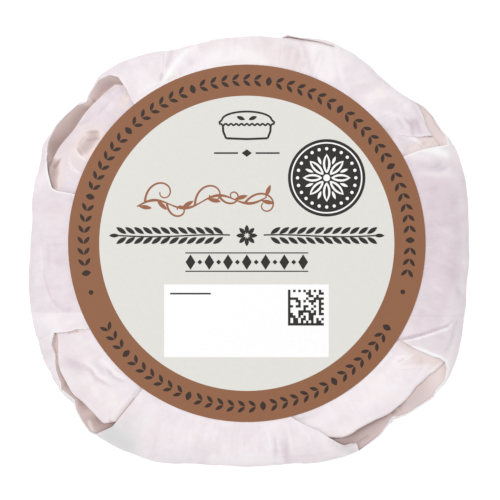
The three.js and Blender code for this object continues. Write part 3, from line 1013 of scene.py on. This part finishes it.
def border_shapes():
    """A chain of leaves round the ring: a long run over the top, a short one below, and dots between them."""
    shapes = [disc(spot(BORDER_RADIUS, angle), 0.6, 14) for angle in (197.5, -17.3)]
    for first, last in ((-10.5, 190.5), (211, 329)):
        count = round(math.radians(last - first) * BORDER_RADIUS / BORDER_PITCH)
        for i, angle in enumerate(np.linspace(first, last, count + 1)):
            if i % 7 == 3:
                shapes.append(leaf(spot(BORDER_RADIUS, angle), 2.4, 1.5, angle))
                continue
            for side in (-1, 1):
                place = spot(BORDER_RADIUS + side * 0.78, angle)
                shapes.append(leaf(place, 2.35, 0.95, angle - 90 + side * 38))
    return [(RING_INK, shape) for shape in shapes]


def pie_sign_shapes():
    """A small line drawing of a raised pie, over a rule with a lozenge in it."""
    flutes = [(x, 29.75 + 0.22 * math.cos(x * 4.76)) for x in np.linspace(-6.6, 6.6, 49)]
    dome = [(6.2 * math.cos(t), 30.9 + 2.1 * math.sin(t)) for t in np.linspace(0, math.pi, 21)]
    shapes = stroke([(-5.2, 26.3), (0, 26.1), (5.2, 26.3)], 0.55) + stroke(flutes, 0.5) + stroke(dome, 0.5)
    for side in (-1, 1):
        shapes += stroke([(side * 5.2, 26.3), (side * 5.9, 28), (side * 6, 29.6)], 0.55)
        shapes += stroke([(side * 6.6, 29.7), (side * 6.9, 30.3), (side * 6.2, 30.9)], 0.55)
        shapes += stroke([(side * 2.2, 22.6), (side * 8.2, 22.6)], 0.42)
        shapes.append(leaf((side * 1.5, 31.35), 2.3, 1, side * 20))
    return [(INK, shape) for shape in [*shapes, leaf((0, 22.6), 2.6, 1.9, 0, 3)]]


def flourish_shapes():
    """A thin copper scroll: a waved stem with tendrils on both sides, and leaves."""
    start, end, height, rise, swing = -27.5, 5, 9.2, 2.4, 1.3
    bend = 4 * math.pi / (end - start)

    def stem(x):
        return x, height + rise * (x - start) / (end - start) + swing * math.sin(bend * (x - start))

    def heading(x):
        return math.degrees(math.atan(rise / (end - start) + swing * bend * math.cos(bend * (x - start))))

    places = np.linspace(start, end, 60)
    shapes = stroke([stem(x) for x in places], 0.35 + 0.35 * np.sin(bend * (places - start)) ** 2)
    for x, side in ((-25.5, 1), (-20, -1), (-13, 1), (-7, -1), (-0.5, 1)):
        size = 0.68 if side < 0 else 1
        points = curl(stem(x), heading(x) + side * 66, 15 * size, -side * 0.13 / size, -side / size)
        shapes += stroke(points, np.linspace(0.6, 0.3, len(points)))
    for x, side in ((-27.3, -1), (-22.6, -1), (-16.4, 1), (-10, -1), (-3.2, 1), (3.4, -1), (4.6, 1)):
        turn = heading(x) + side * 38
        shapes.append(leaf(spot(1.9, turn, stem(x)), 3.4, 1.1, turn))
    return [(COPPER, shape) for shape in shapes]


def garland_shapes():
    """Two ears of wheat, end to end, with a rosette between them, over a shorter band of lozenges."""
    height, low = 1.95, -4.7
    shapes = [leaf(spot(1.55, 45 * i, (0, height)), 2.3, 1.1, 45 * i) for i in range(8)]
    for i in range(-6, 7):
        length, width = (1.3, 1.3) if i % 2 else (2.5, 3.9)
        shapes.append(leaf((i * 2.35, low), length, width, 0, 3))
    for side in (-1, 1):
        stalk = [(side * x, 1.9 + 0.25 * math.sin(x / 5)) for x in np.linspace(4.2, 33.4, 30)]
        shapes += stroke(stalk, 0.36) + [leaf((side * 33.2, height), 2.6, 1, 0)]
        for i in range(24):
            up = i % 2 * 2 - 1
            place = (side * (7.2 + i // 2 * 2.2), height + up * 1.25)
            shapes.append(leaf(place, 3.1, 1.15, side * up * 33))
        shapes += stroke([(-15.4, low + side * 2.3), (15.4, low + side * 2.3)], 0.3)
    return [(INK, shape) for shape in shapes]


def use_by_shapes():
    """The white panel, with a short rule and a small square of blocks in it."""
    shapes = [(WHITE, box_shape(PANEL_LOW, PANEL_HIGH))]
    shapes += [(INK, shape) for shape in stroke([(-19.2, -12.6), (-9, -12.6)], 0.42)]
    size, last = CODE_SIZE / CODE_MODULES, CODE_MODULES - 1
    for row in range(CODE_MODULES):
        for place in range(CODE_MODULES):
            solid = row == 0 or place == 0
            broken = (row == last and place % 2 == 0) or (place == last and row % 2 == 0)
            chance = math.sin(row * 12.9898 + place * 78.233) * 43758.5453 % 1
            if solid or broken or (max(row, place) < last and chance < 0.52):
                x, y = CODE_LOW[0] + place * size, CODE_LOW[1] + row * size
                shapes.append((INK, box_shape((x, y), (x + size, y + size))))
    return shapes


def medallion_shapes():
    """A dark round seal with a light line inside its rim, a ring of dots and a flower."""
    petals = [(WHITE, 0, 3.5, 5, 1.9), (INK, 0, 3.6, 3.7, 0.8), (WHITE, 22.5, 4.7, 2.2, 0.7)]
    rims = [(INK, 0), (WHITE, 0.75), (INK, 1.1)]
    shapes = [(ink, disc(MEDALLION, MEDALLION_RADIUS - inset, 64)) for ink, inset in rims]
    shapes += [(WHITE, disc(spot(7.3, 15 * i, MEDALLION), 0.42, 10)) for i in range(24)]
    for i in range(8):
        for ink, turn, out, length, width in petals:
            place = spot(out, 45 * i + turn, MEDALLION)
            shapes.append((ink, leaf(place, length, width, 45 * i + turn)))
    return shapes + [(INK, disc(MEDALLION, 1.25, 20)), (WHITE, disc(MEDALLION, 0.85, 16))]


def label_shapes():
    shapes = [(RING, disc((0, 0), LABEL_RADIUS, 256)), (PAPER, disc((0, 0), RING_INNER, 192))]
    shapes += border_shapes() + pie_sign_shapes() + flourish_shapes() + garland_shapes()
    return shapes + use_by_shapes() + medallion_shapes()


# ---- Materials.


class Nodes:
    """A new material and short ways to add to it. A value is a (node, output), a number or an (r, g, b)."""

    def __init__(self, name):
        self.material = bpy.data.materials.new(name)
        self.material.use_nodes = True
        self.tree = self.material.node_tree

    def set(self, node, name, value):
        if isinstance(value, tuple) and isinstance(value[0], bpy.types.Node):
            self.tree.links.new(value[0].outputs[value[1]], node.inputs[name])
        else:
            node.inputs[name].default_value = (*value, 1) if isinstance(value, tuple) else value

    def fill(self, node, inputs):
        for key, value in inputs.items():
            self.set(node, key.replace("_", " "), value)
        return node

    def add(self, kind, settings=None, **inputs):
        node = self.tree.nodes.new(kind)
        for key, value in (settings or {}).items():
            setattr(node, key, value)
        return self.fill(node, inputs)

    def surface(self, **inputs):
        """Sets the shader's own sockets."""
        self.fill(self.tree.nodes["Principled BSDF"], inputs)
        return self.material

    def noise(self, scale, detail=3.0, roughness=0.5, place=None):
        """Noise with scale in features for each metre, over the object or over a place of its own."""
        place = place or (self.add("ShaderNodeTexCoord"), "Object")
        settings = {"Vector": place, "Scale": scale, "Detail": detail, "Roughness": roughness}
        return self.add("ShaderNodeTexNoise", **settings), "Fac"

    def ramp(self, value, low, high):
        """value spread out so that low becomes 0 and high becomes 1."""
        return self.add("ShaderNodeMapRange", Value=value, From_Min=low, From_Max=high), "Result"

    def sum(self, first, second, weight=1):
        """first plus weight times second."""
        node = self.add("ShaderNodeMath", {"operation": "MULTIPLY_ADD"})
        for i, value in enumerate((second, weight, first)):
            self.set(node, i, value)
        return node, "Value"

    def mix(self, share, first, second, blend="MIX"):
        node = self.add("ShaderNodeMix", {"data_type": "RGBA", "blend_type": blend}, Factor=share)
        self.set(node, 6, first)
        self.set(node, 7, second)
        return node, 2

    def attribute(self, name, output="Fac"):
        return self.add("ShaderNodeAttribute", {"attribute_name": name}), output

    def bump(self, height, distance, strength, **others):
        settings = {"Height": height, "Distance": distance, "Strength": strength, **others}
        return self.add("ShaderNodeBump", **settings), "Normal"


DULL = (0.69, 0.6, 0.65)  # the paper at its darkest
LIGHT = (0.92, 0.865, 0.885)  # and at its lightest
ROSE = (1.0, 0.955, 0.95)
LILAC = (0.965, 0.96, 1.0)
# Painted shade on steep sides turned from the light.
SHADE_GREY = (0.715, 0.71, 0.715)
# Tan and brown are painted shade in hollows, gaps and pocket floors, with the pie's brown through the paper;
# tan is also the paper's own tint in places.
TAN_AND_SHADE = (0.855, 0.735, 0.722)
BROWN_SHADE = (0.42, 0.3, 0.28)
# A painted highlight along the free edges, lit fold lines and glossy streaks.
EDGE_HIGHLIGHT = (0.96, 0.95, 0.95)
PRINT_MOTTLE = 0.03


def paper_material(name, inside=False):
    """Greaseproof paper with a soft sheen: mottled, streaked across the folds, and tan inside as painted
    shade. Its attributes add painted light and shade.
    """
    made = Nodes(name)
    flow = made.attribute("flow", "Vector")
    mottle = made.sum(-0.5, made.noise(210, 6, 0.65))
    streaks = made.sum(-0.5, made.noise(520, 4, 0.6, flow))
    wall = made.attribute("wall")
    # The tone attribute carries painted light and shade as well as the paper's own tint.
    tone = made.sum(made.attribute("tone"), mottle, made.sum(0.85, wall, -0.6))
    tone = made.sum(tone, streaks, made.sum(0.4, wall, 0.05))
    colour = made.mix(made.ramp(tone, 0, 1), DULL, LIGHT)
    colour = made.mix(made.ramp(made.noise(140, 5, 0.6), 0.4, 0.75), colour, ROSE, "MULTIPLY")
    colour = made.mix(made.ramp(made.noise(230, 4, 0.6), 0.45, 0.8), colour, LILAC, "MULTIPLY")
    # Painted shade: greyish on steep sides.
    colour = made.mix(made.attribute("shade_grey"), colour, SHADE_GREY)
    # Painted shade: tan, and past 1 brown, in hollows, gaps and pockets; the sheet's inside is tan as painted
    # shade.
    deep = 0.9 if inside else made.attribute("deep")
    colour = made.mix(deep, colour, TAN_AND_SHADE)
    if not inside:
        colour = made.mix(made.ramp(deep, 1, 2), colour, BROWN_SHADE)
    # Painted highlight along free edges, lit folds and glossy streaks.
    colour = made.mix(made.attribute("edge"), colour, EDGE_HIGHLIGHT)
    wrinkles = made.bump(made.noise(260, 4, 0.55, flow), 0.00022, 0.8)
    soft = made.bump(made.noise(420, 4, 0.6), 0.0001, 0.8, Normal=wrinkles)
    grain = made.bump(made.noise(2400, 3, 0.7), 0.00002, 0.6, Normal=soft)
    return made.surface(Base_Color=colour, Roughness=0.55, Specular_IOR_Level=0.2, Normal=grain)


def print_material(name, colour):
    """Ink or coating on label paper, hardly uneven."""
    made = Nodes(name)
    shades = [tuple(min(1, part * (1 + more)) for part in colour) for more in (-PRINT_MOTTLE, PRINT_MOTTLE)]
    grain = made.bump(made.noise(2500), 0.000008, 0.5)
    uneven = made.mix(made.noise(900, 4), *shades)
    return made.surface(Base_Color=uneven, Roughness=0.5, Specular_IOR_Level=0.25, Normal=grain)


def floor_material():
    made = Nodes("studio_floor")
    uneven = made.mix(made.noise(3, 2), (0.34, 0.34, 0.34), (0.36, 0.36, 0.36))
    glow = {"Emission_Color": (1.0, 1.0, 1.0), "Emission_Strength": 0.82}
    return made.surface(Base_Color=uneven, Roughness=0.9, Specular_IOR_Level=0.0, **glow)


# ---- The pieces.

FLOW_RADIUS = 50.0
FLOW_STRETCH = 0.16  # streaks and wrinkles are this much finer round the pack than up and over it
LINING_WIDTH = 2.5  # the outer sheet's inside is made this far in from its free edges, and is hidden beyond


def make_mesh(name, vertices, faces):
    mesh = bpy.data.meshes.new(name)
    mesh.from_pydata((vertices * MM).tolist(), [], faces)
    mesh.update()
    return mesh


def add_object(name, data):
    made = bpy.data.objects.new(name, data)
    bpy.context.scene.collection.objects.link(made)
    return made


def drop_loose_vertices(edit):
    bmesh.ops.delete(edit, geom=[v for v in edit.verts if not v.link_faces], context="VERTS")


def close_holes(edit):
    bmesh.ops.holes_fill(edit, edges=[edge for edge in edit.edges if edge.is_boundary], sides=0)
    bmesh.ops.recalc_face_normals(edit, faces=edit.faces)


def thick_mesh(name, points, present, lined, pole=()):
    """A sheet's outside, and its inside and cut edges where it is lined, as materials 0, 1 and 2."""
    quads = grid_quads(points)
    outside = points.reshape(-1, 3)
    count = len(outside)
    fan = [[2 * count, b, a] for a, b in quads[:, 0, :2].tolist() for _ in pole]
    bare = make_mesh(name, np.vstack([outside, outside, *pole]), quads[present].tolist() + fan)
    normals = np.zeros(len(bare.vertices) * 3)
    bare.vertex_normals.foreach_get("vector", normals)
    bpy.data.meshes.remove(bare)
    inside = outside - PAPER_THICKNESS * normals.reshape(-1, 3)[:count]

    lined = lined & present
    faces = [quads[present], quads[lined][:, ::-1] + count]
    padded = np.pad(present, ((0, 0), (1, 1)))
    for side, axis, shift in ((3, 0, 1), (1, 0, -1), (0, 1, 1), (2, 1, -1)):
        beside = np.roll(padded, shift, axis=axis)[:, 1:-1]
        first, last = quads[..., side], quads[..., (side + 1) % 4]
        faces.append(np.stack([last, first, first + count, last + count], axis=-1)[lined & ~beside])
    kinds = np.repeat([0, 1, 2, 2, 2, 2], [len(part) for part in faces])
    mesh = make_mesh(name, np.vstack([outside, inside, *pole]), np.vstack(faces).tolist() + fan)
    mesh.polygons.foreach_set("material_index", np.append(kinds, [0] * len(fan)).astype(np.int32))
    return mesh


def paper_piece(mesh, materials, points, tone, shade_greys, edge, deep, closed=False):
    """Makes a piece of a mesh. Its points, and those on the sheet's inside, say what the paper looks like."""
    points = points.reshape(-1, 3)
    height = points[:, 2]
    climb = height - np.hypot(points[:, 0], points[:, 1])
    values = {
        "tone": tone,
        "wall": smooth(52, 45, height),
        # The next three carry painted colour: greyish shade on steep sides, highlights along edges and folds,
        # and tan to brown shade in hollows, gaps and pockets.
        "shade_grey": np.clip(marked(points, shade_greys), 0, 1) * smooth(44, 51, height),
        "edge": np.clip(edge, 0, 1),
        "deep": np.clip(deep, 0, 2),
        "flow": polar(angle_of(points), FLOW_RADIUS, climb * FLOW_STRETCH) * MM,
    }
    for name, numbers in values.items():
        kind, field, size = ("FLOAT_VECTOR", "vector", 3) if name == "flow" else ("FLOAT", "value", 1)
        numbers = np.resize(numbers, len(mesh.vertices) * size).astype(np.float32)
        mesh.attributes.new(name, kind, "POINT").data.foreach_set(field, numbers)
    edit = bmesh.new()
    edit.from_mesh(mesh)
    drop_loose_vertices(edit)
    if closed:
        close_holes(edit)
    edit.to_mesh(mesh)
    edit.free()
    for material in materials:
        mesh.materials.append(material)
    for polygon in mesh.polygons:
        polygon.use_smooth = True
    return add_object(mesh.name, mesh)


def sheet_tone(points):
    """How light the outer sheet is painted, from 0 to 1: partly its own uneven tint, partly painted light and
    shade along creases, on the walls and at marks.
    """
    height = points[..., 2]
    # Painted light along ridges, and painted shade in grooves and at the feet of steps.
    tone = crease_shade(points, SHEET_RIDGES, SHEET_STEPS)
    tone += marked(points, streak_marks(66, 85, 24, seed=5) + streak_marks(275, 290, 10, seed=6))
    tone *= smooth(45, 52, height)
    # Painted light and shade on the walls, below the top.
    tone += by_angle(points, WALL_PAINTED_LIGHT) * smooth(WRAP_HEIGHT - 0.3, WRAP_HEIGHT - 2.5, height)
    level, first, last, lighter = WEST_BAND
    below = smooth(level + 0.15, level - 0.15, points[..., 1])
    tone += lighter * below * within(angle_of(points), first, last, 1)
    return tone + by_angle(points, SHEET_TONES) + marked(points, SHEET_MARKS)


def make_outer_paper(points, present, edge_away, materials):
    rows = np.minimum(edge_away[:, 1:], edge_away[:, :-1])
    lined = np.minimum(rows, np.roll(rows, -1, axis=0)) < LINING_WIDTH
    mesh = thick_mesh("outer_paper", points, present, lined, pole=[(0, 0, 0)])
    # Painted highlight along the free edges, and on lit folds and glossy streaks.
    painted_highlight = by_angle(points, EDGE_SHINE) * bell(edge_away / 0.4) + marked(points, SHEET_SHINES)
    # Tan painted in: partly the paper's own tint, partly painted shade beside the east flap's lower corner.
    browner_and_shade = marked(points, SHEET_SHADES)
    return paper_piece(mesh, materials, points, sheet_tone(points), SHEET_SHADE_GREYS, painted_highlight, browner_and_shade)


def make_ply(sheet, materials):
    points = shape_ply(sheet)
    present = np.ones((len(points), PLY_ROWS - 1), bool)
    present[-1] = False
    mesh = thick_mesh("outer_paper_ply", points, present, present)
    tone = sheet_tone(points) - 0.2
    # Painted shade: the ply's upper edge is brown where the gap behind it lies in shade.
    browner_and_shade = 0 * tone
    browner_and_shade[:, -1] = 1.6
    return paper_piece(mesh, materials, points, tone, [], 0 * tone, browner_and_shade)


def make_inner_paper(sheet):
    points, deep = shape_core(sheet)
    mesh = make_mesh("inner_paper", points.reshape(-1, 3), grid_quads(points).reshape(-1, 4).tolist())
    # Painted shade in hollows, in gaps and along flap edges, over the pockets' own painted shade.
    deep = np.maximum(deep, marked(points, PANEL_SHADES))
    # The panels' lightness: partly their own tint, partly painted light and shade at marks.
    tone = by_angle(points, PANEL_TONES) + marked(points, PANEL_MARKS)
    # Painted light along the panels' ridges, and painted shade in their grooves.
    tone += crease_shade(points, PANEL_RIDGES, [])
    # Painted highlight on the panels' lit folds.
    painted_highlight = marked(points, PANEL_SHINES)
    return paper_piece(mesh, [paper_material("panel_paper")], points, tone, [], painted_highlight, deep, closed=True)


def make_label():
    """One closed disc whose upper face is cut along the print's outlines, each face with its own colour."""
    shapes = label_shapes()
    points, faces = [], []
    for _, shape in shapes:
        area = sum(x0 * y1 - x1 * y0 for (x0, y0), (x1, y1) in zip(shape, shape[1:] + shape[:1]))
        faces.append(list(range(len(points), len(points) + len(shape))))
        points += shape if area > 0 else shape[::-1]
    vertices, _, triangles, _, _, origins = geometry.delaunay_2d_cdt(points, [], faces, 1, 1e-4)
    edit = bmesh.new()
    top = WRAP_HEIGHT + LABEL_LIFT + LABEL_THICKNESS
    places = [((v.x + LABEL_CENTRE.x) * MM, (v.y + LABEL_CENTRE.y) * MM, top * MM) for v in vertices]
    corners = [edit.verts.new(place) for place in places]
    for triangle, origin in zip(triangles, origins):
        if len(set(triangle)) == 3 and origin:
            face = edit.faces.new([corners[i] for i in triangle])
            face.material_index = shapes[max(origin)][0]
    drop_loose_vertices(edit)
    rim = [edge for edge in edit.edges if edge.is_boundary]
    for item in bmesh.ops.extrude_edge_only(edit, edges=rim)["geom"]:
        if isinstance(item, bmesh.types.BMVert):
            item.co.z -= LABEL_THICKNESS * MM
        elif isinstance(item, bmesh.types.BMFace):
            item.material_index = PAPER
    close_holes(edit)
    mesh = bpy.data.meshes.new("label_print")
    edit.to_mesh(mesh)
    edit.free()
    for name, colour in LABEL_COLOURS.items():
        mesh.materials.append(print_material(name, colour))
    return add_object("label_print", mesh)


def place(piece, node, slot):
    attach(piece, "root")
    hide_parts(node)


sheet, sheet_present, sheet_edge_away = shape_sheet()
sheet_materials = [
    paper_material("wrap_paper"),
    paper_material("wrap_paper_inside", inside=True),
    paper_material("wrap_paper_edge"),
]
place(make_outer_paper(sheet, sheet_present, sheet_edge_away, sheet_materials), "wrapped_pie", "wrap_paper")
place(make_ply(sheet, sheet_materials), "wrapped_pie", "wrap_paper")
place(make_inner_paper(sheet), "wrapped_pie", "wrap_paper")
place(make_label(), "label", "label_paper")

# ---- Floor, light and camera.

FRAME_WIDTH = 125.7  # mm of the pack's widest level that the picture shows from side to side
WIDEST_LEVEL = 53.0
CAMERA_HEIGHT = 1250.0
FLOOR_HALF = 3000.0


def make_floor():
    corners = np.array([(-1, -1, 0), (1, -1, 0), (1, 1, 0), (-1, 1, 0)]) * FLOOR_HALF
    mesh = make_mesh("floor", corners, [(0, 1, 2, 3)])
    mesh.materials.append(floor_material())
    add_object("floor", mesh)


def make_light(name, location, size, watts):
    """A square area light that faces the pack."""
    data = bpy.data.lights.new(name, "AREA")
    data.size = size * MM
    data.energy = watts
    light = add_object(name, data)
    light.location = [value * MM for value in location]
    light.rotation_euler = (-light.location).to_track_quat("-Z", "Y").to_euler()


def make_world(strength):
    world = bpy.data.worlds.new("studio")
    world.use_nodes = True
    world.node_tree.nodes["Background"].inputs["Color"].default_value = (1, 1, 1, 1)
    world.node_tree.nodes["Background"].inputs["Strength"].default_value = strength
    bpy.context.scene.world = world


def make_camera():
    """Straight above the pack, through a long lens."""
    data = bpy.data.cameras.new("camera")
    data.sensor_width = 36
    data.lens = data.sensor_width * (CAMERA_HEIGHT - WIDEST_LEVEL) / FRAME_WIDTH
    data.clip_end = 20
    camera = add_object("camera", data)
    camera.location = (0, 0, CAMERA_HEIGHT * MM)
    bpy.context.scene.camera = camera


make_floor()
make_light("key", location=(-250, 150, 1100), size=500, watts=4.6)
make_world(strength=0.66)
make_camera()
bpy.context.scene.view_settings.view_transform = "Standard"
